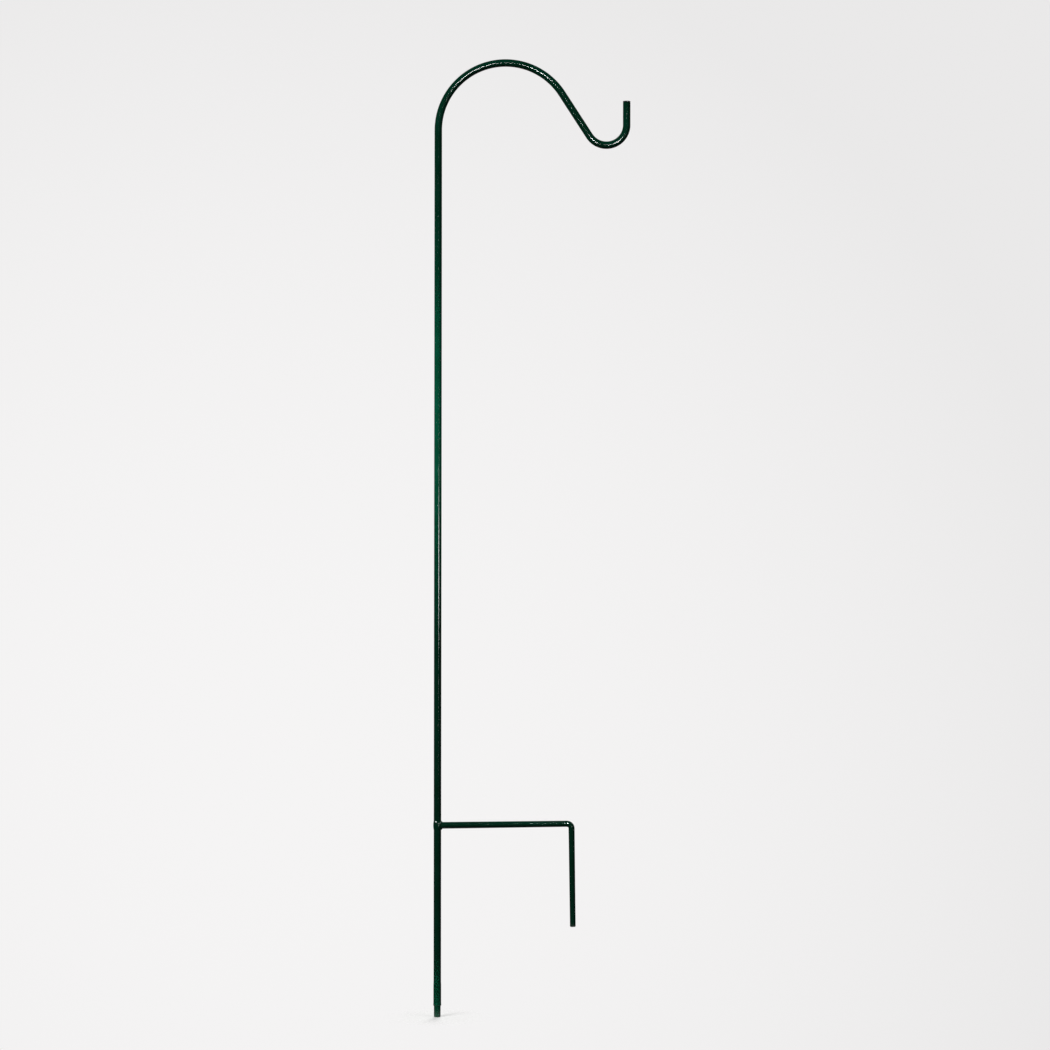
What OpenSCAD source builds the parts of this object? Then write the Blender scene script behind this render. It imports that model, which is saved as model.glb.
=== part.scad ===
// Garden shepherd's hook for a hanging plant: a bent tube pole that is stepped into the soil.
// Millimetres, +Z up. The origin lies on the pole's axis at ground level. The hook and the
// brace are on the +X side, and the whole object is flat in the XZ plane.

/* [Pole] */
// Outside diameter of the pole's tube
pole_d = 12.7; // [10:0.1:20]
// Wall of the tube
pole_wall = 1; // [0.6:0.1:2]
// Straight run of the pole above the ground, up to the start of the arch
shaft_h = 1186; // [500:0.5:2200]
// Depth that the whole stake goes into the ground, foot included
stake_depth = 319.5; // [240:0.5:500]

/* [Crook] */
// Bend radius of the arch, at the tube's centreline
arch_r = 114.2; // [60:0.1:200]
// Angle that the arch turns through, and the hook turns back
arch_turn = 147; // [120:0.5:160]
// Straight slope between the arch and the hook
slope_len = 85.5; // [20:0.5:200]
// Bend radius of the hook, at the tube's centreline
hook_r = 34.4; // [20:0.1:60]
// Straight upright end of the tube past the hook
tip_len = 38; // [20:0.5:80]
// How much the bending draws a tube's or a rod's surface inwards
bend_draw = 0.02; // [0.01:0.01:0.08]
// How far a bend's drawn wall runs on inside the straight tube at each end
bend_lap = 0.5; // [0.3:0.1:0.7]

/* [Tip plug] */
// Thickness of the plug's rim, which covers the tube's end
tip_rim_t = 2.7; // [1.5:0.1:6]
// Rounding of the rim's outer edge
tip_rim_edge = 0.9; // [0.2:0.1:1.4]
// Length of the plug's shank inside the tube
tip_shank_len = 14; // [6:0.5:20]
// Taper at the shank's inner end, for pushing it in
tip_shank_lead = 1; // [0.3:0.1:2]

/* [Foot] */
// Diameter of the foot where it stands out of the tube
foot_d = 11.5; // [9:0.1:16]
// Length of the foot that stands out of the tube
foot_len = 19.5; // [8:0.5:60]
// Length of the foot plug's shank inside the tube's socket
foot_shank_len = 34; // [15:0.5:60]
// Width of the foot's shoulder, which seats against the socket's mouth
foot_step = 0.2; // [0.15:0.05:1]
// Chamfer at both ends of the foot plug
foot_edge = 0.8; // [0.2:0.1:3]
// Length of the tapered step from the socket to the tube's own size
swage_len = 8; // [3:0.5:20]
// Length of the thicker rim at the socket's mouth
mouth_len = 6; // [2:0.5:12]
// How much thicker the wall is at the socket's mouth
mouth_lip = 0.2; // [0.1:0.05:1]
// Clearance all round a plug in the tube
plug_gap = 0.05; // [0.02:0.01:0.1]

/* [Ground brace] */
// Diameter of the brace's rod where it meets the pole
brace_d = 11.2; // [8:0.1:12]
// Straight root of the bar, from the pole's axis to the start of its taper
root_len = 30; // [15:0.5:80]
// Diameter of the rod through the corner: the bar tapers down to it
corner_d = 10.4; // [6:0.1:12]
// Diameter of the rod at the prong's end: the prong tapers down to it
prong_d = 9.7; // [6:0.1:12]
// Pole's axis to the prong's axis, along the bar
brace_reach = 227.6; // [100:0.1:350]
// Bend radius at the brace's corner, at the rod's centreline
corner_r = 8; // [7:0.1:60]
// How far the drawn corner runs on inside the straight rod at each end
corner_lap = 0.3; // [0.2:0.05:0.4]
// Prong's length, from the bar's centreline down to the end
prong_len = 175; // [120:0.5:300]
// Straight end of the prong, below its taper
prong_end_len = 50; // [20:0.5:100]
// Angle that the bar rises away from the pole
brace_rise = 0.8; // [0:0.1:10]
// Rounding of the prong's end
prong_edge = 1.6; // [0.2:0.1:2.5]

/* [Weld] */
// Height of the weld's low collar round the pole
collar_h = 17; // [14:0.5:30]
// How far the collar stands out from the pole
collar_t = 1; // [0.4:0.1:2.5]
// Radius of the weld bead's section, round the rod
bead_r = 3.5; // [2.5:0.1:4]
// How deep the middle of the bead lies below the rod's and the pole's surfaces
bead_sink = 1.05; // [0.5:0.05:1.5]

/* [Hidden] */

coat_green = [0.02, 0.2, 0.12];
weld_green = [0.04, 0.25, 0.16];
plug_black = [0.06, 0.07, 0.07];

pole_r = pole_d / 2;
pole_bore_r = pole_r - pole_wall;
foot_r = foot_d / 2;
brace_r = brace_d / 2;
bar_len = brace_reach - corner_r;

// The socket is the tube's own wall, opened out round the foot plug's shank.
foot_shank_r = foot_r - foot_step;
socket_bore_r = foot_shank_r + plug_gap;
socket_r = socket_bore_r + pole_wall;
mouth_z = foot_len - stake_depth;
socket_top_z = mouth_z + foot_shank_len;

// The brace's bar rests on the ground beside the pole.
brace_z = brace_r;
collar_arc_r = (collar_h * collar_h / 4 + collar_t * collar_t) / (2 * collar_t);

// Cross-section of the tube, with its two surfaces drawn into the wall by some amount
module tube_section(drawn = 0) {
    difference() {
        circle(r = pole_r - drawn, $fn = 64);
        circle(r = pole_bore_r + drawn, $fn = 64);
    }
}

// Places what follows a bend that starts at the origin and leads off +Z towards +X. A negative
// radius and turn lead the other way.
module past_bend(radius, turn) {
    translate([radius, 0, 0])
        rotate([0, turn, 0])
            translate([-radius, 0, 0])
                children();
}

// Places what starts where the arch ends, with +Z down the slope
module past_arch() {
    translate([0, 0, shaft_h])
        past_bend(arch_r, arch_turn)
            children();
}

// Places what starts where the hook ends, with +Z up again
module past_hook() {
    past_arch()
        translate([0, 0, slope_len])
            past_bend(-hook_r, -arch_turn)
                children();
}

// A bend in the XZ plane round the origin. The first angle is counted from +X towards +Z.
module bend(radius, first, turn) {
    rotate([90, 0, 0])
        rotate_extrude(start = first, angle = turn, $fn = 180)
            translate([radius, 0])
                children();
}

// The angle that a length along a bend's centreline turns through
function turn_of(length, radius) = length / radius * 180 / PI;

// A bend of the tube: its drawn wall runs on a little way inside the straight tube's wall
module tube_bend(radius, first) {
    lap = turn_of(bend_lap, radius);
    bend(radius, first - lap, arch_turn + 2 * lap)
        tube_section(bend_draw);
}

// The socket, the stake and the shaft as one straight tube along Z
module straight_pole() {
    rotate_extrude($fn = 64)
        polygon([
            [socket_r + mouth_lip, mouth_z],
            [socket_r, mouth_z + mouth_len],
            [socket_r, socket_top_z],
            [pole_r, socket_top_z + swage_len],
            [pole_r, shaft_h],
            [pole_bore_r, shaft_h],
            [pole_bore_r, socket_top_z + swage_len],
            [socket_bore_r, socket_top_z],
            [socket_bore_r, mouth_z]
        ]);
}

// One tube: socket, stake, shaft, arch, slope, hook and upright tip
module crook_pole() {
    color(coat_green)
        union() {
            straight_pole();
            translate([arch_r, 0, shaft_h])
                tube_bend(arch_r, 180 - arch_turn);
            past_arch()
                union() {
                    linear_extrude(slope_len)
                        tube_section();
                    translate([-hook_r, 0, slope_len])
                        tube_bend(hook_r, 0);
                }
            past_hook()
                linear_extrude(tip_len)
                    tube_section();
        }
}

// Half-section of a round bar that stands on the X axis, with its top edge rounded
module rounded_bar(radius, length, edge) {
    square([radius, length - edge]);
    square([radius - edge, length]);
    translate([radius - edge, length - edge])
        intersection() {
            circle(r = edge, $fn = 32);
            square(edge);
        }
}

// Push-in end plug: the rim covers the tube's end, and the shank is inside the tube
module hook_tip_plug() {
    shank_r = pole_bore_r - plug_gap;
    color(plug_black)
        past_hook()
            translate([0, 0, tip_len])
                rotate_extrude($fn = 64)
                    union() {
                        rounded_bar(pole_r, tip_rim_t, tip_rim_edge);
                        polygon([
                            [0, -tip_shank_len],
                            [shank_r - tip_shank_lead, -tip_shank_len],
                            [shank_r, tip_shank_lead - tip_shank_len],
                            [shank_r, 0],
                            [0, 0]
                        ]);
                    }
}

// Stepped round plug: its shank is inside the socket, and the rest is the stake's foot
module foot_plug() {
    color(coat_green)
        rotate_extrude($fn = 64)
            polygon([
                [0, -stake_depth],
                [foot_r - foot_edge, -stake_depth],
                [foot_r, foot_edge - stake_depth],
                [foot_r, mouth_z],
                [foot_shank_r, mouth_z],
                [foot_shank_r, socket_top_z - foot_edge],
                [foot_shank_r - foot_edge, socket_top_z],
                [0, socket_top_z]
            ]);
}

// Places what is drawn along the bar's axis: the bar leaves the pole at a slight rise
module on_bar() {
    translate([0, 0, brace_z])
        rotate([0, -brace_rise, 0])
            children();
}

// The bar's rod, from the pole's axis to the corner: a straight root and a long taper
module bar_rod() {
    rotate([0, 90, 0])
        rotate_extrude($fn = 64)
            polygon([
                [0, 0],
                [brace_r, 0],
                [brace_r, root_len],
                [corner_d / 2, bar_len],
                [0, bar_len]
            ]);
}

// The brace's corner: the drawn bend runs on a little way inside the bar and the prong
module rod_corner() {
    lap = turn_of(corner_lap, corner_r);
    translate([bar_len, 0, -corner_r])
        bend(corner_r, -lap, 90 + 2 * lap)
            circle(r = corner_d / 2 - bend_draw, $fn = 64);
}

// The prong below the corner: a long taper and a straight end
module prong_rod() {
    taper_end_z = prong_end_len - prong_len;
    translate([0, 0, taper_end_z])
        cylinder(h = -corner_r - taper_end_z, r1 = prong_d / 2, r2 = corner_d / 2, $fn = 64);
    translate([0, 0, taper_end_z])
        mirror([0, 0, 1])
            rotate_extrude($fn = 64)
                rounded_bar(prong_d / 2, prong_end_len, prong_edge);
}

// The stretch of pole that the brace and its weld are fitted to
module pole_here() {
    cylinder(h = 4 * collar_h, r = pole_r, center = true, $fn = 64);
}

// One bent rod: its inner end is shaped to the pole, and its outer end is the prong
module ground_brace() {
    color(coat_green)
        difference() {
            on_bar()
                union() {
                    bar_rod();
                    rod_corner();
                    translate([brace_reach, 0, 0])
                        prong_rod();
                }
            pole_here();
        }
}

// A low collar of weld round the pole, bulging between its two edges
module weld_collar() {
    translate([0, 0, brace_z])
        rotate_extrude($fn = 64)
            intersection() {
                translate([pole_r + collar_t - collar_arc_r, 0])
                    circle(r = collar_arc_r, $fn = 720);
                translate([pole_bore_r, -collar_h / 2])
                    square([pole_wall + collar_t, collar_h]);
            }
}

// The bead that fills the corner between the rod and the pole
module weld_bead() {
    on_bar()
        translate([pole_r - bead_sink, 0, 0])
            rotate([0, 90, 0])
                rotate_extrude($fn = 64)
                    intersection() {
                        translate([brace_r - bead_sink, 0])
                            circle(r = bead_r, $fn = 48);
                        translate([brace_r / 2, -bead_r])
                            square([brace_r + bead_r, 2 * bead_r]);
                    }
}

// The weld metal that joins the brace to the pole, outside both of them
module brace_weld() {
    color(weld_green)
        difference() {
            union() {
                weld_collar();
                weld_bead();
            }
            pole_here();
            on_bar()
                bar_rod();
        }
}

crook_pole();
hook_tip_plug();
foot_plug();
ground_brace();
brace_weld();
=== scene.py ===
import math
from functools import partial

import bpy
from bpy.props import FloatProperty, FloatVectorProperty, IntProperty, PointerProperty
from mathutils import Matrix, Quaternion, Vector


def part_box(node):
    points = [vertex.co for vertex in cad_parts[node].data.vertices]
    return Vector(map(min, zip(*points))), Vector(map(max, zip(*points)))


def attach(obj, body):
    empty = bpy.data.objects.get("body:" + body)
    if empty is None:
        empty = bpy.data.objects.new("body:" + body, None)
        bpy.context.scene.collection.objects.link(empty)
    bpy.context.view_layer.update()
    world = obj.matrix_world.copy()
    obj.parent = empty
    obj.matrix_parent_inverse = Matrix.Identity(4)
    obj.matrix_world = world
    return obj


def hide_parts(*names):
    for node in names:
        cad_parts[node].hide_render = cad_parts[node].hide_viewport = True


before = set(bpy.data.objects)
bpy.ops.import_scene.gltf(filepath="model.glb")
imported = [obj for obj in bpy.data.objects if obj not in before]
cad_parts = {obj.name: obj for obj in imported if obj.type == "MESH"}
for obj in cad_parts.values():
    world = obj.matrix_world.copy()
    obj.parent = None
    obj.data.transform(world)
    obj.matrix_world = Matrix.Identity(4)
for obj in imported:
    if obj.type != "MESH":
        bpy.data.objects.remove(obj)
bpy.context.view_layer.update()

bl_info = {
    "name": "Garden hook for a hanging plant",
    "version": (1, 0, 0),
    "blender": (4, 5, 0),
    "location": "3D View > Sidebar > Garden hook",
    "description": "Bent steel pole with a step-in ground brace, coated dark green",
    "category": "Object",
}

MM = 0.001
TAU = 2 * math.pi
RIGHT_ANGLE = math.pi / 2

BODY = "root"  # the one CAD body, which every piece rides on
SPIN = "Spin half-section"
BEND = "Cold bend"
STRAIGHT = "straight_place"  # the attribute that keeps where a point was before the bends

# Kinds of node that are used again and again
COMBINE = "ShaderNodeCombineXYZ"
INTEGER_MATH = "FunctionNodeIntegerMath"
MAP_RANGE = "ShaderNodeMapRange"
MATH = "ShaderNodeMath"
NESTED_TREE = "GeometryNodeGroup"
NOISE = "ShaderNodeTexNoise"
SEPARATE = "ShaderNodeSeparateXYZ"
SET_POSITION = "GeometryNodeSetPosition"
VECTOR_MATH = "ShaderNodeVectorMath"

# How finely the pieces are drawn
MERGE_GAP = 0.002 * MM  # points closer than this become one
CREASE = math.radians(32)  # an edge that turns by more than this stays sharp
WELD_CREASE = math.radians(50)  # the same on the weld, whose ripples stay smooth
HOLD = 0.4 * MM  # from the last straight row of points to a rounded end
PLUG_ROWS = 3 * MM  # between the rows of points on a plug
BEAD_STEPS = 228  # points along the weld's bead, 12 to each of its 19 ripples
BEAD_SIDES = 40  # points round the bead
COLLAR_ROWS = 24  # steps up the weld's collar
COLLAR_SIDES = 96  # points round the collar
CORE_SIDES = 128  # points round the tube and the rod that are cut out of the weld
FLOOR_SIDES = 96  # points round the floor


def linear(code):
    """The linear colour of an sRGB hex value such as '#053321', by the standard's own curve."""
    parts = [int(code[i:i + 2], 16) / 255 for i in (1, 3, 5)]
    return [c / 12.92 if c <= 0.04045 else ((c + 0.055) / 1.055) ** 2.4 for c in parts]


def length(name, default_mm, description):
    """A size in metres, given in millimetres, for a property group."""
    return FloatProperty(
        name=name,
        description=description,
        default=default_mm * MM,
        min=0.0,
        subtype="DISTANCE",
        unit="LENGTH",
        precision=5,
    )


def angle(name, default_degrees, description):
    """An angle, given in degrees, for a property group."""
    return FloatProperty(
        name=name,
        description=description,
        default=math.radians(default_degrees),
        subtype="ANGLE",
        unit="ROTATION",
    )


def colour(name, code, description):
    """A colour, given as sRGB hex, for a property group."""
    return FloatVectorProperty(
        name=name,
        description=description,
        default=linear(code),
        size=3,
        min=0.0,
        max=1.0,
        subtype="COLOR",
    )


class PoleSizes(bpy.types.PropertyGroup):
    tube_d: length("Tube diameter", 12.7, "Outside diameter of the pole's tube")
    wall: length("Tube wall", 1.0, "Wall of the tube")
    shaft_h: length("Shaft height", 1186, "Straight pole above the ground, up to the arch")
    stake_depth: length("Stake depth", 319.5, "Depth of the stake below the ground")
    arch_r: length("Arch radius", 114.2, "Bend radius of the arch at the tube's centreline")
    arch_turn: angle("Arch turn", 147, "Angle that the arch turns, and the hook turns back")
    slope_len: length("Slope length", 85.5, "Straight tube between the arch and the hook")
    hook_r: length("Hook radius", 34.4, "Bend radius of the hook at the tube's centreline")
    tip_len: length("Tip length", 38, "Straight upright tube past the hook")
    socket_d: length("Socket diameter", 13.2, "Outside diameter of the socket")
    socket_len: length("Socket length", 34, "Opened-out stretch at the tube's lower end")
    swage_len: length("Swage length", 8, "Tapered step from the socket to the tube")
    mouth_lip: length("Mouth lip", 0.2, "How much the rim at the mouth stands out")
    mouth_len: length("Mouth length", 6, "Length of the rim at the socket's mouth")
    edge: length("Edge rounding", 0.25, "Rounding that the coat gives to a cut edge")
    sides: IntProperty(name="Sides", description="Facets round the tube", default=64, min=8)


class PlugSizes(bpy.types.PropertyGroup):
    foot_d: length("Foot diameter", 11.5, "Diameter of the foot below the socket's mouth")
    foot_len: length("Foot length", 19.5, "Length of the foot that shows")
    foot_step: length("Foot step", 0.2, "Width of the shoulder against the mouth")
    foot_edge: length("Foot edge", 0.8, "Chamfer at the foot's end")
    foot_wear: length("Foot wear", 8, "How far up the foot the soil has rubbed the coat")
    rim_t: length("Rim thickness", 2.7, "Thickness of the tip plug's rim")
    rim_edge: length("Rim edge", 0.9, "Rounding of the rim's outer edge")
    shank_len: length("Shank length", 14, "Length of the tip plug's shank")
    gate_d: length("Gate diameter", 2.6, "Sunk moulding mark at the middle of the rim")
    gap: length("Gap", 0.05, "Clearance all round a plug in the tube")


class BraceSizes(bpy.types.PropertyGroup):
    root_d: length("Root diameter", 11.2, "Diameter of the rod at the pole")
    root_len: length("Root length", 30, "Straight root of the bar, from the pole's axis")
    corner_d: length("Corner diameter", 10.4, "Diameter of the rod through the corner")
    prong_d: length("Prong diameter", 9.7, "Diameter of the rod at the prong's end")
    reach: length("Reach", 227.6, "Pole's axis to the prong's axis, along the bar")
    corner_r: length("Corner radius", 8, "Bend radius of the corner at the rod's centreline")
    prong_len: length("Prong length", 175, "Bar's centreline to the prong's end")
    prong_end_len: length("Prong end length", 50, "Straight end of the prong")
    prong_edge: length("Prong edge", 1.6, "Rounding of the prong's end")
    prong_wear: length("Prong wear", 12, "How far up the prong the soil has rubbed the coat")
    rise: angle("Rise", 0.8, "Angle that the bar rises away from the pole")


class WeldSizes(bpy.types.PropertyGroup):
    bead_r: length("Bead radius", 3.5, "Radius of the bead's section")
    bead_sink: length("Bead sink", 1.05, "How deep the bead's middle lies in both surfaces")
    ripple_depth: length("Ripple depth", 0.16, "Height of the bead's ripples")
    ripples: IntProperty(name="Ripples", description="Ripples round the bead", default=19, min=4)
    lump_depth: length("Lump depth", 0.3, "How uneven the bead and the collar are")
    collar_h: length("Collar height", 17, "Height of the low collar round the pole")
    collar_t: length("Collar thickness", 1, "How far the collar stands out")
    melt: length("Melt", 0.15, "How deep the weld metal runs into the tube and the rod")


class StageSizes(bpy.types.PropertyGroup):
    floor_r: length("Floor radius", 100, "Radius at which the floor has faded away")
    plain_r: length("Plain floor radius", 4, "Radius inside which the floor doesn't fade")
    camera_x: length("Camera to the right", 148, "Camera's distance right of the pole")
    camera_z: length("Camera height", 515.8, "Camera's height above the ground")
    camera_away: length("Camera distance", 4952, "Camera's distance in front of the pole")
    camera_roll: angle("Camera roll", -0.07, "Turn of the camera about its line of sight")


class FinishColours(bpy.types.PropertyGroup):
    green: colour("Green", "#012617", "Dark green of the powder coat")
    light_green: colour("Light green", "#022E1F", "Green where the coat is a little thinner")
    steel: colour("Steel", "#4E504C", "Dull steel where the coat has rubbed through")
    plastic: colour("Plastic", "#0B1411", "Near-black plastic of the tip plug")
    wall: colour("Backdrop", "#F5F4F4", "Paper of the backdrop")
    floor: colour("Floor", "#F0F0EF", "Paper of the floor")


def feed(tree, node, inputs):
    """Sets a node's inputs, by name or number, to values, or links them to sockets or to the
    first outputs of other nodes."""
    for key, value in inputs.items():
        if isinstance(value, bpy.types.Node):
            value = value.outputs[0]
        if isinstance(value, bpy.types.NodeSocket):
            tree.links.new(value, node.inputs[key])
        else:
            node.inputs[key].default_value = value


def add_node(tree, kind, inputs=None, **settings):
    """Adds a node, makes its settings and feeds its inputs. Each tree below calls it as add."""
    node = tree.nodes.new(kind)
    for name, value in settings.items():
        setattr(node, name, value)
    feed(tree, node, inputs or {})
    return node


# Geometry Nodes: the pieces are turned straight and then bent, as the real ones are.

SOCKETS = {
    "geometry": "NodeSocketGeometry",
    "float": "NodeSocketFloat",
    "int": "NodeSocketInt",
    "vector": "NodeSocketVector",
    "material": "NodeSocketMaterial",
}


def new_tree(name, **inputs):
    """A Geometry Nodes tree with a geometry output, and its inputs, given as name=kind."""
    tree = bpy.data.node_groups.new(name, "GeometryNodeTree")
    tree.interface.new_socket("Geometry", in_out="OUTPUT", socket_type=SOCKETS["geometry"])
    for title, kind in inputs.items():
        label = title.replace("_", " ").capitalize()
        tree.interface.new_socket(label, in_out="INPUT", socket_type=SOCKETS[kind])
    return tree, add_node(tree, "NodeGroupInput").outputs


def end_tree(tree, geometry, material=None):
    """Ends a tree. A piece's tree realizes its instances and sets its material."""
    if material is not None:
        geometry = add_node(tree, "GeometryNodeRealizeInstances", {0: geometry})
        ends = {"Geometry": geometry, "Material": material}
        geometry = add_node(tree, "GeometryNodeSetMaterial", ends)
    add_node(tree, "NodeGroupOutput", {0: geometry})
    return tree


def spin_tree():
    """Turns a half-section, drawn as radius and height, into a closed round body. All pieces
    share this tree."""
    if SPIN in bpy.data.node_groups:
        return bpy.data.node_groups[SPIN]
    tree, given = new_tree(SPIN, geometry="geometry", sides="int")
    add = partial(add_node, tree)
    count = add("GeometryNodeAttributeDomainSize", {0: given["Geometry"]})
    # The last column of points closes the ring on the first, and is merged with it.
    ring = add(INTEGER_MATH, {0: given["Sides"], 1: 1}, operation="ADD")
    # The grid's own size doesn't matter: every point of it is placed.
    grid = add("GeometryNodeMeshGrid", {"Vertices X": count, "Vertices Y": ring})
    index = add("GeometryNodeInputIndex")
    row = add(INTEGER_MATH, {0: index, 1: ring}, operation="DIVIDE_FLOOR")
    column = add(INTEGER_MATH, {0: index, 1: ring}, operation="MODULO")
    place = add("GeometryNodeInputPosition")
    sample = {"Geometry": given["Geometry"], "Value": place, "Index": row}
    drawn = add("GeometryNodeSampleIndex", sample, data_type="FLOAT_VECTOR")
    point = add(SEPARATE, {0: drawn}).outputs
    step = add(MATH, {0: TAU, 1: given["Sides"]}, operation="DIVIDE")
    turn = add(MATH, {0: column, 1: step}, operation="MULTIPLY")
    section = add(COMBINE, {"X": point["X"], "Z": point["Z"]})
    spun = add("ShaderNodeVectorRotate", {"Vector": section, "Angle": turn}, rotation_type="Z_AXIS")
    body = add(SET_POSITION, {0: grid, "Position": spun})
    # The coat's patterns follow the tube through its bends, so they read this place.
    kept = {"Geometry": body, "Name": STRAIGHT, "Value": place}
    body = add("GeometryNodeStoreNamedAttribute", kept, data_type="FLOAT_VECTOR")
    body = add("GeometryNodeMergeByDistance", {"Geometry": body, "Distance": MERGE_GAP})
    return end_tree(tree, add("GeometryNodeFlipFaces", {0: body}))


def bend_tree():
    """Bends everything past a height, towards +X or, with Way -1, towards -X. The tube and
    the rod share this tree."""
    if BEND in bpy.data.node_groups:
        return bpy.data.node_groups[BEND]
    tree, given = new_tree(
        BEND, geometry="geometry", start="float", radius="float", turn="float", way="float"
    )
    add = partial(add_node, tree)
    place = add("GeometryNodeInputPosition")
    point = add(SEPARATE, {0: place}).outputs
    # A point turns by the length of tube between it and the start, up to the whole turn.
    past = add(MATH, {0: point["Z"], 1: given["Start"]}, operation="SUBTRACT")
    full = add(MATH, {0: past, 1: given["Radius"]}, operation="DIVIDE")
    above = add(MATH, {0: full, 1: 0.0}, operation="MAXIMUM")
    bent = add(MATH, {0: above, 1: given["Turn"]}, operation="MINIMUM")
    # The length that the turn uses up is taken off before the point is turned.
    used = add(MATH, {0: bent, 1: given["Radius"]}, operation="MULTIPLY")
    left = add(MATH, {0: point["Z"], 1: used}, operation="SUBTRACT")
    straight = add(COMBINE, {"X": point["X"], "Y": point["Y"], "Z": left})
    side = add(MATH, {0: given["Radius"], 1: given["Way"]}, operation="MULTIPLY")
    centre = add(COMBINE, {"X": side, "Z": given["Start"]})
    turned = add(MATH, {0: bent, 1: given["Way"]}, operation="MULTIPLY")
    placed = {"Vector": straight, "Center": centre, "Angle": turned}
    placed = add("ShaderNodeVectorRotate", placed, rotation_type="Y_AXIS")
    return end_tree(tree, add(SET_POSITION, {0: given["Geometry"], "Position": placed}))


def crease(tree, geometry, turn=CREASE):
    """Smooth faces, with the edges that turn by more than an angle kept sharp."""
    add = partial(add_node, tree)
    smooth = add("GeometryNodeSetShadeSmooth", {"Geometry": geometry, "Shade Smooth": True})
    edge = add("GeometryNodeInputMeshEdgeAngle")
    sharp = add("FunctionNodeCompare", {"A": edge, "B": turn}, operation="GREATER_THAN")
    sharp = {"Geometry": smooth, "Selection": sharp, "Shade Smooth": False}
    return add("GeometryNodeSetShadeSmooth", sharp, domain="EDGE")


def pole_tree():
    """A straight tube, spun and then bent twice: first the hook at its end, then the arch."""
    tree, given = new_tree(
        "Bent pole",
        geometry="geometry",
        sides="int",
        arch_start="float",
        arch_radius="float",
        hook_start="float",
        hook_radius="float",
        turn="float",
        material="material",
    )
    add = partial(add_node, tree)
    body = add(NESTED_TREE, {0: given["Geometry"], "Sides": given["Sides"]}, node_tree=spin_tree())
    for bend, way in (("Hook", -1.0), ("Arch", 1.0)):
        sizes = {0: body, "Start": given[f"{bend} start"], "Radius": given[f"{bend} radius"]}
        sizes.update({"Turn": given["Turn"], "Way": way})
        body = add(NESTED_TREE, sizes, node_tree=bend_tree())
    return end_tree(tree, crease(tree, body), given["Material"])


def plug_tree():
    """A turned plug, spun on the Z axis and then put in its place."""
    tree, given = new_tree(
        "Turned plug", geometry="geometry", sides="int", place="vector", material="material"
    )
    add = partial(add_node, tree)
    body = add(NESTED_TREE, {0: given["Geometry"], "Sides": given["Sides"]}, node_tree=spin_tree())
    body = add("GeometryNodeTransform", {"Geometry": body, "Translation": given["Place"]})
    return end_tree(tree, crease(tree, body), given["Material"])


def brace_tree():
    """A rod, spun, bent at its corner, laid along the bar and shaped to the pole at its root."""
    tree, given = new_tree(
        "Bent brace",
        geometry="geometry",
        sides="int",
        corner_start="float",
        corner_radius="float",
        rise="float",
        bar_height="float",
        pole_radius="float",
        material="material",
    )
    add = partial(add_node, tree)
    body = add(NESTED_TREE, {0: given["Geometry"], "Sides": given["Sides"]}, node_tree=spin_tree())
    corner = {0: body, "Start": given["Corner start"], "Radius": given["Corner radius"]}
    corner.update({"Turn": RIGHT_ANGLE, "Way": 1.0})
    body = add(NESTED_TREE, corner, node_tree=bend_tree())
    tilt = add(MATH, {0: RIGHT_ANGLE, 1: given["Rise"]}, operation="SUBTRACT")
    tilt = add(COMBINE, {"Y": tilt})
    lifted = add(COMBINE, {"Z": given["Bar height"]})
    body = add("GeometryNodeTransform", {"Geometry": body, "Translation": lifted, "Rotation": tilt})
    # The root's points go out to the pole's round surface.
    place = add("GeometryNodeInputPosition")
    point = add(SEPARATE, {0: place}).outputs
    across = add(MATH, {0: point["Y"], 1: 2.0}, operation="POWER")
    whole = add(MATH, {0: given["Pole radius"], 1: 2.0}, operation="POWER")
    saddle = add(MATH, {0: whole, 1: across}, operation="SUBTRACT")
    saddle = add(MATH, {0: saddle}, operation="SQRT")
    out = add(MATH, {0: point["X"], 1: saddle}, operation="MAXIMUM")
    shaped = add(COMBINE, {"X": out, "Y": point["Y"], "Z": point["Z"]})
    body = add(SET_POSITION, {0: body, "Position": shaped})
    return end_tree(tree, crease(tree, body), given["Material"])


LUMP_SCALE = 160.0  # to a metre: lumps about 6 mm long
NOISE_MEAN = 0.5
RIPPLE_LEAD = 0.2  # the ripples run ahead at this part of the bead's radius outside the rod


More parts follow.
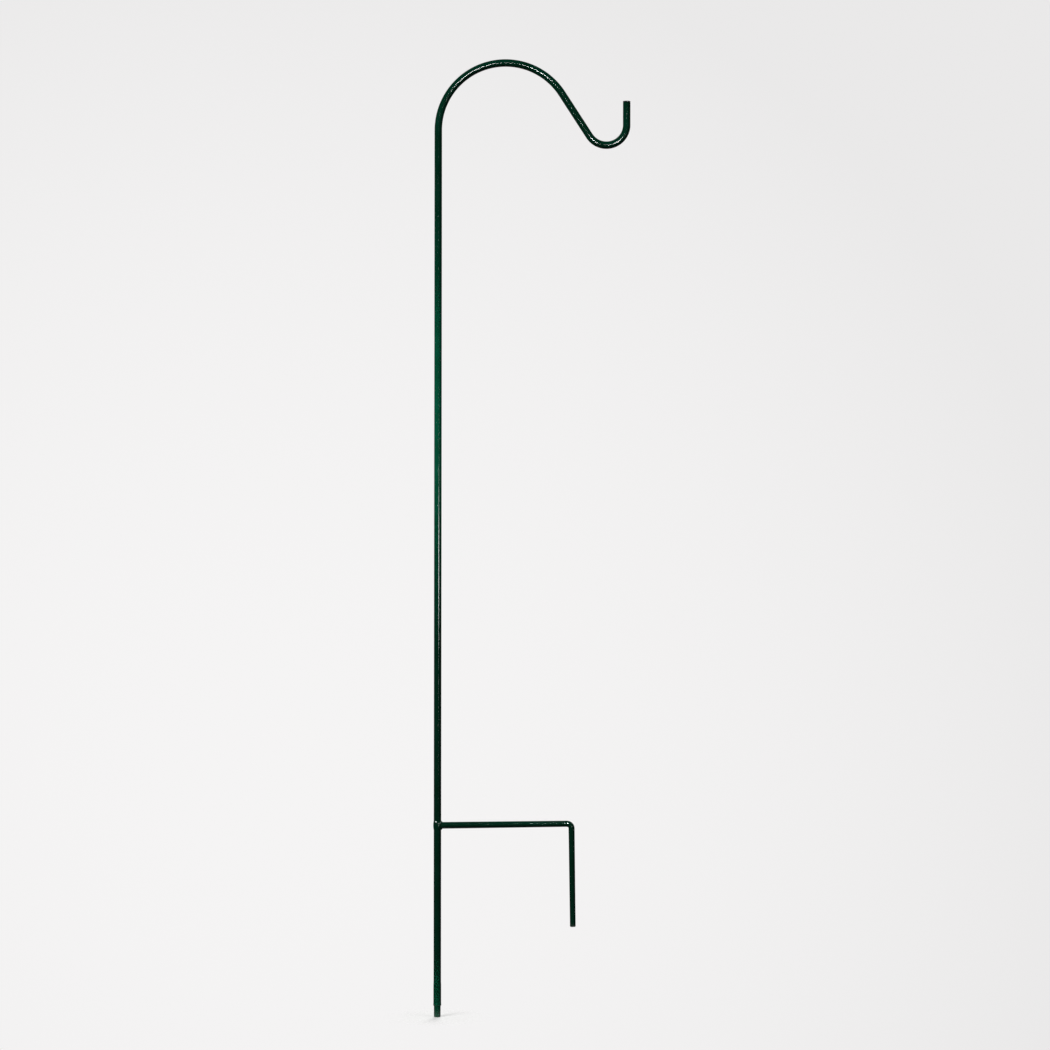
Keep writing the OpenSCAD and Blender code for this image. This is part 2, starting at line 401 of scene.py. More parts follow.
def weld_tree():
    """A rippled bead round the rod where it meets the pole, on a low collar round the pole."""
    tree, given = new_tree(
        "Weld",
        geometry="geometry",
        sides="int",
        pole_radius="float",
        rod_radius="float",
        bar_height="float",
        path_radius="float",
        path_reach="float",
        bead_radius="float",
        ripples="int",
        ripple_depth="float",
        lump_depth="float",
        core_length="float",
        seed="float",
        material="material",
    )
    add = partial(add_node, tree)
    place = add("GeometryNodeInputPosition")
    point = add(SEPARATE, {0: place}).outputs
    # The path is a ring round the rod, laid on the pole's round side.
    ring = {"Resolution": BEAD_STEPS, "Radius": given["Path radius"]}
    ring = add("GeometryNodeCurvePrimitiveCircle", ring)
    across = add(MATH, {0: point["X"], 1: point["X"]}, operation="MULTIPLY")
    reach = add(MATH, {0: given["Path reach"], 1: given["Path reach"]}, operation="MULTIPLY")
    reach = add(MATH, {0: reach, 1: across}, operation="SUBTRACT")
    reach = add(MATH, {0: reach}, operation="SQRT")
    height = add(MATH, {0: point["Y"], 1: given["Bar height"]}, operation="ADD")
    saddle = add(COMBINE, {"X": reach, "Y": point["X"], "Z": height})
    path = add(SET_POSITION, {0: ring, "Position": saddle})
    section = {"Resolution": BEAD_SIDES, "Radius": given["Bead radius"]}
    section = add("GeometryNodeCurvePrimitiveCircle", section)
    bead = add("GeometryNodeCurveToMesh", {"Curve": path, "Profile Curve": section})

    # Each ripple is a crescent that lags behind at the bead's two toes.
    over = add(MATH, {0: point["Z"], 1: given["Bar height"]}, operation="SUBTRACT")
    around = add(MATH, {0: over, 1: point["Y"]}, operation="ARCTAN2")
    turns = add(MATH, {0: around, 1: TAU}, operation="DIVIDE")
    phase = add(MATH, {0: turns, 1: given["Ripples"]}, operation="MULTIPLY")
    off_axis = add(COMBINE, {"Y": point["Y"], "Z": over})
    off_axis = add(VECTOR_MATH, {0: off_axis}, operation="LENGTH").outputs["Value"]
    crest = add(MATH, {0: off_axis, 1: given["Rod radius"]}, operation="SUBTRACT")
    crest = add(MATH, {0: crest, 1: given["Bead radius"]}, operation="DIVIDE")
    crest = add(MATH, {0: crest, 1: RIPPLE_LEAD}, operation="SUBTRACT")
    lag = add(MATH, {0: crest, 1: crest}, operation="MULTIPLY")
    phase = add(MATH, {0: phase, 1: lag}, operation="ADD")
    # The hand's speed varied, which left lumps and shifted the ripples as well.
    uneven = {"Vector": place, "W": given["Seed"], "Scale": LUMP_SCALE, "Detail": 1.0}
    uneven = add(NOISE, uneven, noise_dimensions="4D")
    phase = add(MATH, {0: phase, 1: uneven}, operation="ADD")
    wave = add(MATH, {0: phase, 1: TAU}, operation="MULTIPLY")
    wave = add(MATH, {0: wave}, operation="SINE")
    lump = add(MATH, {0: uneven, 1: NOISE_MEAN}, operation="SUBTRACT")
    lump = add(MATH, {0: lump, 1: given["Lump depth"]}, operation="MULTIPLY")
    raised = add(MATH, {0: wave, 1: given["Ripple depth"], 2: lump}, operation="MULTIPLY_ADD")
    normal = add("GeometryNodeInputNormal")
    raised = add(VECTOR_MATH, {0: normal, "Scale": raised}, operation="SCALE")
    bead = add(SET_POSITION, {0: bead, "Offset": raised})

    collar = {0: given["Geometry"], "Sides": given["Sides"]}
    collar = add(NESTED_TREE, collar, node_tree=spin_tree())
    swell = add(VECTOR_MATH, {0: normal, "Scale": lump}, operation="SCALE")
    collar = add(SET_POSITION, {0: collar, "Offset": swell})

    # The metal of the tube and of the rod is taken away from the bead and the collar.
    core = {"Depth": given["Core length"], "Vertices": CORE_SIDES}
    tube = add("GeometryNodeMeshCylinder", {**core, "Radius": given["Pole radius"]})
    rod = add("GeometryNodeMeshCylinder", {**core, "Radius": given["Rod radius"]})
    half = add(MATH, {0: given["Core length"], 1: 2.0}, operation="DIVIDE")
    laid = add(COMBINE, {"X": half, "Z": given["Bar height"]})
    rod = {"Geometry": rod, "Translation": laid, "Rotation": (0, RIGHT_ANGLE, 0)}
    rod = add("GeometryNodeTransform", rod)
    solver = "MANIFOLD"
    both = add("GeometryNodeMeshBoolean", operation="UNION", solver=solver)
    for part in (bead, collar):
        feed(tree, both, {"Mesh 2": part})
    cut = add("GeometryNodeMeshBoolean", {"Mesh 1": both}, operation="DIFFERENCE", solver=solver)
    for metal in (tube, rod):
        feed(tree, cut, {"Mesh 2": metal})
    return end_tree(tree, crease(tree, cut, WELD_CREASE), given["Material"])


def grow(name, rows, tree, material, **values):
    """Draws a half-section as radius and height, and grows it into a piece with a plain mesh."""
    mesh = bpy.data.meshes.new(name)
    edges = [(i, i + 1) for i in range(len(rows) - 1)]
    mesh.from_pydata([(r, 0.0, h) for r, h in rows], edges, [])
    piece = bpy.data.objects.new(name, mesh)
    bpy.context.scene.collection.objects.link(piece)
    modifier = piece.modifiers.new("Shape", "NODES")
    modifier.node_group = tree
    named = {title.replace("_", " ").capitalize(): value for title, value in values.items()}
    named["Material"] = material
    for item in tree.interface.items_tree:
        if item.item_type == "SOCKET" and item.in_out == "INPUT" and item.name in named:
            modifier[item.identifier] = named.pop(item.name)
    if named:
        raise RuntimeError(f"{tree.name} has no input named {sorted(named)}")
    graph = bpy.context.evaluated_depsgraph_get()
    grown = bpy.data.meshes.new_from_object(piece.evaluated_get(graph))
    piece.modifiers.clear()
    piece.data = grown
    grown.name = name
    bpy.data.meshes.remove(mesh)
    if not grown.polygons:
        raise RuntimeError(f"{name} came out empty")
    return piece


def mount(piece, node):
    """The piece rides on the body and stands for its CAD node."""
    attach(piece, BODY)
    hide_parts(node)


def spaced(*stretches):
    """Heights along stretches that follow each other, each given as its start, its end and
    about how far apart its heights are. The last stretch leaves out its own end."""
    heights = []
    for start, end, step in stretches:
        count = max(1, round(abs(end - start) / step))
        heights += [start + (end - start) * i / count for i in range(count)]
    return heights


def rounded(radius, height, edge, first, last, steps):
    """Points of a small rounding round a centre, from a first to a last angle in degrees."""
    points = []
    for i in range(steps + 1):
        a = math.radians(first + (last - first) * i / steps)
        points.append((radius + edge * math.cos(a), height + edge * math.sin(a)))
    return points


def ease(t):
    """A smooth step from 0 to 1."""
    t = min(1.0, max(0.0, t))
    return t * t * (3 - 2 * t)


# Materials. A pattern's scale is how many of its features go to a metre, worked out from
# their real size. Noise runs from about 0.3 to 0.7, and the ranges that read it lie there.

CLOUD_SCALE = 22.0  # 45 mm, over which the coat's thickness slowly varies
RUB_SCALE = (900.0, 900.0, 14.0)  # lines 1.1 mm wide and 70 mm long
GRIT_SCALE = 420.0  # specks of 2.4 mm
PEEL_SCALE = 480.0  # waves of 2 mm
PEEL_DEPTH = 0.06 * MM
POWDER_SCALE = 2400.0  # grains of 0.4 mm: the real ones are finer and would not show
POWDER_DEPTH = 0.01 * MM
COAT_IOR = 1.5  # polyester
COAT_ROUGHNESS = (0.1, 0.13)  # where the coat is thick, and where it is thin
RUB_ROUGHNESS = 0.04  # what a rubbed line adds to it
WEAR_ROUGHNESS = 0.35  # what the soil's wear adds to it at most

TONE_SCALE = 160.0  # 6 mm, over which the plastic's tone and gloss vary
SPARK_SCALE = 3200.0  # grains of 0.3 mm: the real ones are finer and would not show
SPARK_DEPTH = 0.02 * MM
PLASTIC_IOR = 1.51  # polyethylene
PLASTIC_ROUGHNESS = (0.36, 0.5)
PALER = 1.7  # how much paler the plastic is at its palest

FLOOR_LIT = 0.45  # the part of the floor's colour that the lamps light
FLOOR_OWN = 0.44  # the floor's own brightness
FLOOR_ROUGHNESS = 0.9
MIRRORED = 0.4  # how strongly reflections see the floor and the backdrop
BACKDROP_MIDDLE = Vector((-0.094, 1.0, -0.077)).normalized()  # the way to its brightest part
BACKDROP_EDGE = 0.9588  # cosine of the 16.5 degrees to where it is darkest
BACKDROP_EDGE_TONE = 0.9
MIRRORED_FROM = 0.8  # cosine of the 37 degrees at which the mirrored backdrop begins
MIRRORED_FULL = 0.95  # cosine of the 18 degrees within which it is complete
STUDIO_DIM = 0.015  # brightness of the rest of the studio


def new_material(name):
    """An empty material with its shader. Returns the tree, the shader and the object's place."""
    material = bpy.data.materials.new(name)
    material.use_nodes = True
    tree = material.node_tree
    tree.nodes.clear()
    shader = add_node(tree, "ShaderNodeBsdfPrincipled")
    add_node(tree, "ShaderNodeOutputMaterial", {"Surface": shader})
    place = add_node(tree, "ShaderNodeTexCoord").outputs["Object"]
    return material, tree, shader, place


def powder_coat(name, colours, straight=True, worn=None):
    """Dark green polyester powder coat, baked on steel: glossy, with a fine orange peel that
    breaks up the reflections and a slow cloudiness. On what goes into the soil it gets dull
    towards the end and is rubbed through to the steel in specks. Its patterns lie as on the
    straight tube, or, if not straight, as on the finished piece. worn is the height of the
    worn end, and how far up from it the wear reaches."""
    material, tree, shader, place = new_material(name)
    add = partial(add_node, tree)
    height = place
    if straight:
        place = add("ShaderNodeAttribute", attribute_name=STRAIGHT).outputs["Vector"]
    cloud = add(NOISE, {"Vector": place, "Scale": CLOUD_SCALE, "Detail": 3.0, "Roughness": 0.55})
    thin = add(MAP_RANGE, {"Value": cloud, "From Min": 0.35, "From Max": 0.7})
    green = {"A": (*colours.green, 1), "B": (*colours.light_green, 1), "Factor": thin}
    green = add("ShaderNodeMix", green, data_type="RGBA").outputs["Result"]
    # Fine lengthwise rubbing from packing and handling.
    stretched = add("ShaderNodeMapping", {"Vector": place, "Scale": RUB_SCALE})
    rub = add(NOISE, {"Vector": stretched, "Scale": 1.0, "Detail": 2.0})
    rub = add(MAP_RANGE, {"Value": rub, "From Min": 0.55, "From Max": 0.8})
    thick, thinned = COAT_ROUGHNESS
    gloss = {"Value": cloud, "From Min": 0.3, "From Max": 0.75, "To Min": thick, "To Max": thinned}
    gloss = add(MAP_RANGE, gloss)
    rough = add(MATH, {0: rub, 1: RUB_ROUGHNESS, 2: gloss}, operation="MULTIPLY_ADD")
    if worn is not None:
        end, reach = worn
        up = add(SEPARATE, {0: height}).outputs["Z"]
        near = add(MAP_RANGE, {"Value": up, "From Min": end + reach, "From Max": end})
        grit = add(NOISE, {"Vector": place, "Scale": GRIT_SCALE, "Detail": 5.0, "Roughness": 0.65})
        wear = add(MATH, {0: near, 1: grit}, operation="MULTIPLY")
        # Nearness times noise runs from 0 to about 0.7.
        bare = add(MAP_RANGE, {"Value": wear, "From Min": 0.47, "From Max": 0.52})
        dull = {"Value": wear, "From Min": 0.12, "From Max": 0.5, "To Max": WEAR_ROUGHNESS}
        dull = add(MAP_RANGE, dull)
        rough = add(MATH, {0: rough, 1: dull}, operation="ADD")
        green = {"A": green, "B": (*colours.steel, 1), "Factor": bare}
        green = add("ShaderNodeMix", green, data_type="RGBA").outputs["Result"]
        feed(tree, shader, {"Metallic": bare})
    # The orange peel's waves, and on them the grains of powder that didn't quite flow out.
    peel = add(NOISE, {"Vector": place, "Scale": PEEL_SCALE, "Detail": 2.0})
    waves = add("ShaderNodeBump", {"Strength": 0.2, "Distance": PEEL_DEPTH, "Height": peel})
    powder = add(NOISE, {"Vector": place, "Scale": POWDER_SCALE, "Detail": 1.0})
    fine = {"Strength": 0.12, "Distance": POWDER_DEPTH, "Height": powder, "Normal": waves}
    fine = add("ShaderNodeBump", fine)
    feed(tree, shader, {"IOR": COAT_IOR, "Base Color": green, "Roughness": rough, "Normal": fine})
    return material


def moulded_plastic(name, colours):
    """Near-black low-density polyethylene, injection moulded: satin, with a fine spark-eroded
    grain that spreads the highlights, and a tone and a gloss that vary a little."""
    material, tree, shader, place = new_material(name)
    add = partial(add_node, tree)
    cloud = add(NOISE, {"Vector": place, "Scale": TONE_SCALE, "Detail": 3.0})
    pale = [c * PALER for c in colours.plastic]
    tone = {"A": (*colours.plastic, 1), "B": (*pale, 1), "Factor": cloud}
    tone = add("ShaderNodeMix", tone, data_type="RGBA").outputs["Result"]
    low, high = PLASTIC_ROUGHNESS
    rough = {"Value": cloud, "From Min": 0.3, "From Max": 0.7, "To Min": low, "To Max": high}
    rough = add(MAP_RANGE, rough)
    grain = add(NOISE, {"Vector": place, "Scale": SPARK_SCALE, "Detail": 2.0})
    bump = add("ShaderNodeBump", {"Strength": 0.3, "Distance": SPARK_DEPTH, "Height": grain})
    feed(tree, shader, {"IOR": PLASTIC_IOR, "Base Color": tone, "Roughness": rough, "Normal": bump})
    return material


def shown(tree, mirrored):
    """How much of the studio's paper shows: all to the camera, and a part in reflections."""
    add = partial(add_node, tree)
    ray = add("ShaderNodeLightPath").outputs
    mirror = {0: ray["Is Glossy Ray"], 1: ray["Is Transmission Ray"]}
    mirror = add(MATH, mirror, operation="MAXIMUM")
    part = add(MATH, {0: mirror, 1: mirrored}, operation="MULTIPLY")
    return add(MATH, {0: ray["Is Camera Ray"], 1: part}, operation="MAXIMUM")


def floor_paper(name, paper, plain_r, floor_r, floor_z):
    """Matt white paper that fades away towards its rim, where the backdrop shows through. A
    part of its brightness is its own, for the camera and for reflections. The rest is the
    lamps' light, which the object's shadow takes away."""
    material, tree, shader, place = new_material(name)
    add = partial(add_node, tree)
    lit_paper = [c * FLOOR_LIT for c in paper]
    matt = {"Base Color": (*lit_paper, 1), "Roughness": FLOOR_ROUGHNESS, "Specular IOR Level": 0.0}
    feed(tree, shader, matt)
    own = add(MATH, {0: shown(tree, MIRRORED), 1: FLOOR_OWN}, operation="MULTIPLY")
    own = add("ShaderNodeEmission", {"Color": (*paper, 1), "Strength": own})
    lit = add("ShaderNodeAddShader", {0: shader, 1: own})
    away = {0: place, 1: (0.0, 0.0, floor_z)}
    away = add(VECTOR_MATH, away, operation="DISTANCE").outputs["Value"]
    fade = {"Value": away, "From Min": plain_r, "From Max": floor_r}
    fade = add(MAP_RANGE, fade, interpolation_type="SMOOTHSTEP")
    clear = add("ShaderNodeBsdfTransparent")
    both = add("ShaderNodeMixShader", {0: fade, 1: lit, 2: clear})
    feed(tree, tree.get_output_node("ALL"), {"Surface": both})
    return material


def studio_world(paper):
    """A pale backdrop for the camera, a little darker away from its middle. Reflections see
    the part of it that is behind the object, more weakly. The rest of the studio is dim."""
    world = bpy.data.worlds.new("Studio")
    world.use_nodes = True
    tree = world.node_tree
    tree.nodes.clear()
    add = partial(add_node, tree)
    way = add("ShaderNodeTexCoord").outputs["Generated"]
    behind = {0: way, 1: BACKDROP_MIDDLE}
    behind = add(VECTOR_MATH, behind, operation="DOT_PRODUCT").outputs["Value"]
    middle = {"Value": behind, "From Min": BACKDROP_EDGE, "To Min": BACKDROP_EDGE_TONE}
    middle = add(MAP_RANGE, middle)
    pale = add("ShaderNodeBackground", {"Color": (*paper, 1), "Strength": middle})
    dim = add("ShaderNodeBackground", {"Color": (1, 1, 1, 1), "Strength": STUDIO_DIM})
    back = {"From Min": MIRRORED_FROM, "From Max": MIRRORED_FULL, "To Max": MIRRORED}
    back = add(MAP_RANGE, {"Value": behind, **back})
    both = add("ShaderNodeMixShader", {0: shown(tree, back), 1: dim, 2: pale})
    add("ShaderNodeOutputWorld", {"Surface": both})
    return world


# Operators: one for each piece, and one for the stage


class BuildPole(bpy.types.Operator):
    """Builds the pole: one tube with its socket, shaft, arch, slope, hook and tip"""

    bl_idname = "garden_hook.pole"
    bl_label = "Pole tube"

    def execute(self, context):
        s = context.scene.hook_pole
        r = s.tube_d / 2
        bore = r - s.wall
        mouth = -s.stake_depth + context.scene.hook_plugs.foot_len
        socket_top = mouth + s.socket_len
        socket_r = s.socket_d / 2
        socket_bore = socket_r - s.wall
        arch_len = s.arch_r * s.arch_turn
        hook_len = s.hook_r * s.arch_turn
        slope_start = s.shaft_h + arch_len
        hook_start = slope_start + s.slope_len
        tip_start = hook_start + hook_len
        top = tip_start + s.tip_len
        last = top - s.edge - HOLD

        def outside(h):
            lip = s.mouth_lip * (1 - ease((h - mouth) / s.mouth_len))
            return socket_r + lip + (r - socket_r) * ease((h - socket_top) / s.swage_len)

        def inside(h):
            return socket_bore + (bore - socket_bore) * ease((h - socket_top) / s.swage_len)

        # The rows of points lie close on the tapers and in the bends, and wide on the rest.
        heights = spaced(
            (mouth + s.edge, mouth + s.mouth_len, 1 * MM),
            (mouth + s.mouth_len, socket_top, 7 * MM),
            (socket_top, socket_top + s.swage_len, 1 * MM),
            (socket_top + s.swage_len, s.shaft_h, 40 * MM),
            (s.shaft_h, slope_start, math.radians(2) * s.arch_r),
            (slope_start, hook_start, 20 * MM),
            (hook_start, tip_start, math.radians(3) * s.hook_r),
            (tip_start, last, 12 * MM),
        )
        heights.append(last)
        rows = rounded(outside(mouth) - s.edge, mouth + s.edge, s.edge, -90, 0, 3)[:-1]
        rows += [(outside(h), h) for h in heights]
        rows += rounded(r - s.edge, top - s.edge, s.edge, 0, 90, 3)
        rows += [(bore, top)]
        rows += [(inside(h), h) for h in reversed(heights[1:])]
        rows += [(socket_bore, mouth), rows[0]]
        pole = grow(
            "pole_tube",
            rows,
            pole_tree(),
            powder_coat("Powder-coated steel tube", context.scene.hook_colours),
            sides=s.sides,
            arch_start=s.shaft_h,
            arch_radius=s.arch_r,
            hook_start=hook_start,
            hook_radius=s.hook_r,
            turn=s.arch_turn,
        )
        mount(pole, "crook_pole")
        return {"FINISHED"}


class BuildTipPlug(bpy.types.Operator):
    """Builds the push-in plug that closes the hook's tip"""

    bl_idname = "garden_hook.tip_plug"
    bl_label = "Tip plug"

    def execute(self, context):
        s = context.scene.hook_plugs
        pole = context.scene.hook_pole
        r = pole.tube_d / 2
        shank = r - pole.wall - s.gap
        gate_r = s.gate_d / 2
        flat = r - s.rim_edge
        lead_in = 1 * MM  # chamfer that leads the shank into the tube
        draft = 0.05 * MM  # slope of the rim's side, by which it leaves its mould
        under = 0.25 * MM  # chamfer round the rim's underside
        dome = 0.25 * MM  # how much the rim's face rises to its middle
        bevel = 0.3 * MM  # sloping edge of the moulding mark
        sunk = s.rim_t - 0.35 * MM  # height of the moulding mark's floor
        steps = 6

        rows = [(0, -s.shank_len), (shank - lead_in, -s.shank_len)]
        rows += [(shank, h) for h in spaced((lead_in - s.shank_len, 0, PLUG_ROWS))]
        rows += [(shank, 0), (r - draft - under, 0), (r - draft, under)]
        rows += rounded(flat, s.rim_t - dome - s.rim_edge, s.rim_edge, 0, 80, 7)
        for i in range(1, steps + 1):
            radius = flat + (gate_r + bevel - flat) * i / steps
            rows.append((radius, s.rim_t - dome * (radius / flat) ** 2))
        rows += [(gate_r, sunk), (gate_r / 2, sunk), (0, sunk)]
        low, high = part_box("hook_tip_plug")
        plug = grow(
            "tip_plug",
            rows,
            plug_tree(),
            moulded_plastic("Moulded plastic plug", context.scene.hook_colours),
            sides=pole.sides,
            place=Vector(((low.x + high.x) / 2, 0, high.z - s.rim_t)),
        )
        mount(plug, "hook_tip_plug")
        return {"FINISHED"}


class BuildFootPlug(bpy.types.Operator):
    """Builds the stepped plug that is the stake's foot"""

    bl_idname = "garden_hook.foot_plug"
    bl_label = "Foot plug"

    def execute(self, context):
        s = context.scene.hook_plugs
        pole = context.scene.hook_pole
        r = s.foot_d / 2
        shank = r - s.foot_step
        end = -pole.stake_depth
        mouth = end + s.foot_len
        top = mouth + pole.socket_len
        soft = 0.3 * MM  # rounding of the chamfer's two edges
        start = soft * 0.4  # where that rounding begins on a 45 degree chamfer
        side_top = mouth - 0.15 * MM  # the shoulder's edge is broken from here
        shoulder_r = r - 0.12 * MM  # to here

        # The middle of the foot's flat end, and two rings of points on it.
        rows = [(r * part, end) for part in (0, 0.45, 0.75)]
        rows += rounded(r - s.foot_edge - soft, end + soft, soft, -90, -45, 3)
        rows += rounded(r - soft, end + s.foot_edge + start, soft, -45, 0, 3)
        rows += [(r, h) for h in spaced((end + 2 * MM, side_top, PLUG_ROWS))]
        rows += [(r, side_top), (shoulder_r, mouth), (shank, mouth)]
        rows += [(shank, h) for h in spaced((mouth + 6 * MM, top - s.foot_edge, 2 * PLUG_ROWS))]
        rows += [(shank, top - s.foot_edge), (shank - s.foot_edge, top), (0, top)]
        colours = context.scene.hook_colours
        plug = grow(
            "stake_foot",
            rows,
            plug_tree(),
            powder_coat("Powder-coated foot, worn", colours, worn=(end, s.foot_wear)),
            sides=pole.sides,
            place=Vector((0, 0, 0)),
        )
        mount(plug, "foot_plug")
        return {"FINISHED"}


class BuildBrace(bpy.types.Operator):
    """Builds the ground brace: a tapered rod, bent down into the prong"""

    bl_idname = "garden_hook.brace"
    bl_label = "Ground brace"

    def execute(self, context):
        s = context.scene.hook_brace
        pole = context.scene.hook_pole
        root_r = s.root_d / 2
        corner_r = s.corner_d / 2
        prong_r = s.prong_d / 2
        bar_len = s.reach - s.corner_r
        bend_end = bar_len + s.corner_r * RIGHT_ANGLE
        end = bend_end + s.prong_len - s.corner_r
        taper_end = end - s.prong_end_len
        last = end - s.prong_edge - HOLD
        first = 9 * MM  # the first ring clear of the pole

        def radius(h):
            slim = root_r + (corner_r - root_r) * (h - s.root_len) / (bar_len - s.root_len)
            thin = corner_r + (prong_r - corner_r) * (h - bend_end) / (taper_end - bend_end)
            return min(root_r, max(slim, corner_r if h < bend_end else max(thin, prong_r)))

        heights = spaced(
            (first, s.root_len, 7 * MM),
            (s.root_len, bar_len, 12 * MM),
            (bar_len, bend_end, math.radians(5) * s.corner_r),
            (bend_end, taper_end, 12 * MM),
            (taper_end, last, 12 * MM),
        )
        heights.append(last)
        # The rings on the root's flat end are laid on the pole, so they lie close at its rim.
        rows = [(root_r * part, 0) for part in (0, 0.25, 0.5, 0.75, 0.92, 1)]
        rows += [(radius(h), h) for h in heights]
        rows += rounded(prong_r - s.prong_edge, end - s.prong_edge, s.prong_edge, 0, 90, 8)
        rows += [((prong_r - s.prong_edge) / 2, end), (0, end)]
        worn = (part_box("ground_brace")[0].z, s.prong_wear)
        brace = grow(
            "brace_rod",
            rows,
            brace_tree(),
            powder_coat("Powder-coated steel rod", context.scene.hook_colours, worn=worn),
            sides=pole.sides,
            corner_start=bar_len,
            corner_radius=s.corner_r,
            rise=s.rise,
            bar_height=root_r,
            pole_radius=pole.tube_d / 2,
        )
        mount(brace, "ground_brace")
        return {"FINISHED"}


class BuildWeld(bpy.types.Operator):
    """Builds the rippled weld between the pole and the brace"""

    bl_idname = "garden_hook.weld"
    bl_label = "Weld"

    def execute(self, context):
        s = context.scene.hook_weld
        pole_r = context.scene.hook_pole.tube_d / 2
        rod_r = context.scene.hook_brace.root_d / 2
        half = s.collar_h / 2
        inner = pole_r - 3 * s.melt  # well inside the metal that is cut away later
        swell = s.collar_t * 0.85  # the lumps take up the rest of the collar's thickness

        rows = [(inner, rod_r - half)]
        for i in range(COLLAR_ROWS + 1):
            t = 2 * i / COLLAR_ROWS - 1
            bulge = pole_r - s.melt + (swell + s.melt) * (1 - t * t)
            rows.append((bulge, rod_r + t * half))
        # The inside comes back down in four steps.
        rows += [(inner, rod_r + half - s.collar_h * i / 4) for i in range(5)]
        weld = grow(
            "weld_bead",
            rows,
            weld_tree(),
            powder_coat("Powder coat over weld", context.scene.hook_colours, straight=False),
            sides=COLLAR_SIDES,
            pole_radius=pole_r - s.melt,
            rod_radius=rod_r - s.melt,
            bar_height=rod_r,
            path_radius=rod_r - s.bead_sink,
            path_reach=pole_r - s.bead_sink,
            bead_radius=s.bead_r - s.ripple_depth - s.lump_depth / 2,
            ripples=s.ripples,
            ripple_depth=s.ripple_depth,
            lump_depth=s.lump_depth,
            core_length=3 * s.collar_h,  # reaches out of the weld at both ends
            seed=4.0,
        )
        mount(weld, "brace_weld")
        return {"FINISHED"}


# The lamps: name, place, target, width, height, lean in degrees, power in watts, degrees
# that the grid lets through (180 is no grid), and purpose. The large soft lamps light the
# colours and are hidden from reflections. The small gridded ones make the glints that the
# photograph shows on the glossy coat, and light no colour.
LAMPS = (
    ("Soft key", (-2.9, -3.3, 3.4), (0.15, 0, 0.5), 2.0, 2.0, 0, 270, 180, "colour"),
    ("Soft fill", (3.2, -2.2, 3.6), (0.15, 0, 0.5), 2.0, 2.0, 0, 70, 180, "colour"),
    ("Soft back", (0.6, 3.6, 3.4), (0.15, 0, 0.5), 2.0, 2.0, 0, 240, 180, "colour"),
    ("Arch strip", (0.385, -5.0, 1.145), (0.06, 0, 1.285), 0.5, 0.4, 24, 0.095, 5.5, "glints"),
    ("Shoulder strip", (-0.41, -5.0, 1.26), (0.19, 0, 1.275), 0.34, 0.4, -38, 0.0035, 5, "glints"),
    ("Hook strip", (1.04, -5.0, 1.0), (0.305, 0, 1.167), 0.52, 0.4, 35, 0.17, 4.5, "glints"),
    ("Bend strip", (-0.26, -5.0, 1.05), (0.26, 0, 1.17), 0.5, 0.4, -39, 0.135, 4.5, "glints"),
    ("Side strip", (2.6, -4.2, 0.39), (0, 0, 0.46), 1.0, 0.36, 0, 0.36, 18, "glints"),
    ("Corner spot", (0.95, -4.95, 2.6), (0.22, 0, 0.0), 0.5, 0.5, 0, 1.1, 7, "glints"),
    ("Weld spot", (-3.2, -3.62, 1.3), (0, 0, 0.012), 1.0, 0.8, 0, 0.9, 6, "glints"),
)

# The beams: name, place, target, radius of the lens, degrees of the cone, power in watts.
BEAMS = (
    ("Middle beam", (-0.9, -2.2, 0.69), (0, 0, 0.69), 0.15, 15, 540),
    ("Foot beam", (-0.5, -1.7, -0.22), (0, 0, -0.305), 0.05, 5, 165),
)

LENS_MM = 100
SENSOR_MM = 36


def hang(name, kind, place, target, power, lean=0):
    """Hangs a lamp that the camera doesn't see, aims it and turns it about its beam."""
    light = bpy.data.lights.new(name, kind)
    light.energy = power
    lamp = bpy.data.objects.new(name, light)
    lamp.location = place
    aim = (Vector(target) - lamp.location).to_track_quat("-Z", "Y")
    lamp.rotation_euler = (aim @ Quaternion((0, 0, 1), math.radians(lean))).to_euler()
    lamp.visible_camera = False
    bpy.context.scene.collection.objects.link(lamp)
    return lamp, light


def add_lamp(name, place, target, width, height, lean, power, grid, purpose):
    """A flat studio lamp, for the colours alone or for the glints alone."""
    lamp, light = hang(name, "AREA", place, target, power, lean)
    light.shape = "RECTANGLE"
    light.size = width
    light.size_y = height
    light.spread = math.radians(grid)
    lamp.visible_glossy = purpose == "glints"
    lamp.visible_diffuse = purpose == "colour"


def add_beam(unlit, name, place, target, radius, cone, power):
    """A soft-edged beam that lights the colours round its target, and leaves out what the
    unlit collection holds."""
    lamp, light = hang(name, "SPOT", place, target, power)
    light.shadow_soft_size = radius
    light.spot_size = math.radians(cone)
    light.spot_blend = 1.0
    lamp.visible_glossy = False
    lamp.light_linking.receiver_collection = unlit


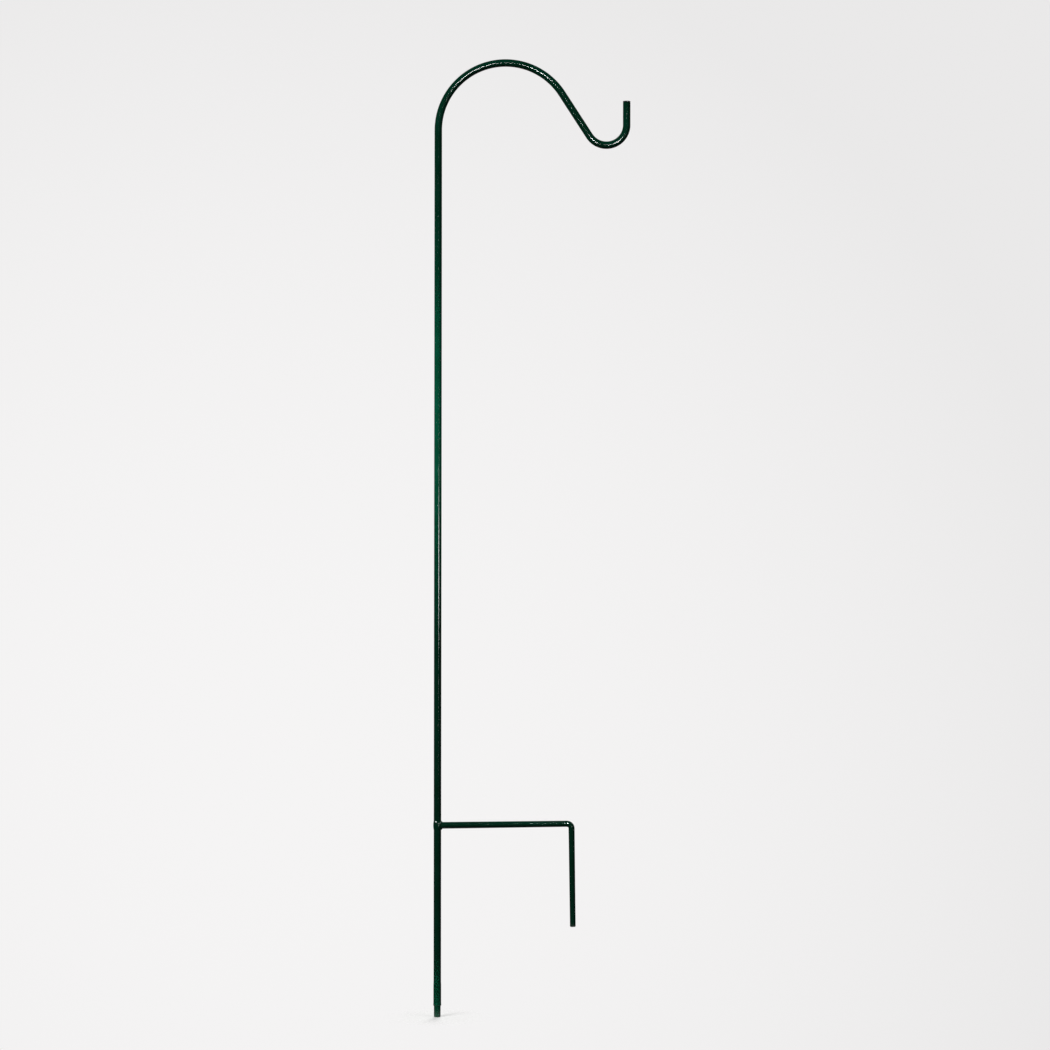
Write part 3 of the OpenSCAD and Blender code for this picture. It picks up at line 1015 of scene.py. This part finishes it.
class BuildStage(bpy.types.Operator):
    """Sets the floor, the backdrop, the lamps, the world and the camera"""

    bl_idname = "garden_hook.stage"
    bl_label = "Stage"

    def execute(self, context):
        scene = context.scene
        colours = scene.hook_colours
        s = scene.hook_stage
        floor_z = -scene.hook_pole.stake_depth
        turns = [TAU * i / FLOOR_SIDES for i in range(FLOOR_SIDES)]
        points = [(s.floor_r * math.cos(a), s.floor_r * math.sin(a), floor_z) for a in turns]
        mesh = bpy.data.meshes.new("paper_floor")
        mesh.from_pydata(points, [], [tuple(range(FLOOR_SIDES))])
        floor = bpy.data.objects.new("paper_floor", mesh)
        paper = floor_paper("Matt floor paper", colours.floor, s.plain_r, s.floor_r, floor_z)
        mesh.materials.append(paper)
        scene.collection.objects.link(floor)

        for lamp in LAMPS:
            add_lamp(*lamp)
        unlit = bpy.data.collections.new("Not lit by the beams")
        unlit.objects.link(floor)
        unlit.collection_objects[0].light_linking.link_state = "EXCLUDE"
        for beam in BEAMS:
            add_beam(unlit, *beam)
        scene.world = studio_world(colours.wall)

        camera = bpy.data.objects.new("Camera", bpy.data.cameras.new("Camera"))
        camera.data.lens = LENS_MM
        camera.data.sensor_width = SENSOR_MM
        camera.data.dof.use_dof = False
        camera.location = (s.camera_x, -s.camera_away, s.camera_z)
        camera.rotation_euler = (RIGHT_ANGLE, s.camera_roll, 0)
        scene.collection.objects.link(camera)
        scene.camera = camera
        scene.view_settings.view_transform = "Standard"
        return {"FINISHED"}


STEPS = (BuildPole, BuildTipPlug, BuildFootPlug, BuildBrace, BuildWeld, BuildStage)
SETTINGS = {
    "hook_pole": PoleSizes,
    "hook_plugs": PlugSizes,
    "hook_brace": BraceSizes,
    "hook_weld": WeldSizes,
    "hook_stage": StageSizes,
    "hook_colours": FinishColours,
}


class GardenHookPanel(bpy.types.Panel):
    """Lists the sizes and colours of the garden hook, and what builds it"""

    bl_idname = "VIEW3D_PT_garden_hook"
    bl_label = "Garden hook"
    bl_space_type = "VIEW_3D"
    bl_region_type = "UI"
    bl_category = "Garden hook"

    def draw(self, context):
        for name, group in SETTINGS.items():
            box = self.layout.box()
            box.label(text=name.replace("hook_", "").capitalize())
            for entry in group.__annotations__:
                box.prop(getattr(context.scene, name), entry)
        for step in STEPS:
            self.layout.operator(step.bl_idname)


def register():
    """Makes the sizes, the operators and the panel known to Blender."""
    for name, group in SETTINGS.items():
        bpy.utils.register_class(group)
        setattr(bpy.types.Scene, name, PointerProperty(type=group))
    for step in STEPS:
        bpy.utils.register_class(step)
    bpy.utils.register_class(GardenHookPanel)


def unregister():
    """Takes back what register did."""
    bpy.utils.unregister_class(GardenHookPanel)
    for step in reversed(STEPS):
        bpy.utils.unregister_class(step)
    for name, group in SETTINGS.items():
        delattr(bpy.types.Scene, name)
        bpy.utils.unregister_class(group)


def main():
    """Builds the hook and its stage."""
    register()
    bpy.ops.garden_hook.pole()
    bpy.ops.garden_hook.tip_plug()
    bpy.ops.garden_hook.foot_plug()
    bpy.ops.garden_hook.brace()
    bpy.ops.garden_hook.weld()
    bpy.ops.garden_hook.stage()


if __name__ == "__main__":
    main()
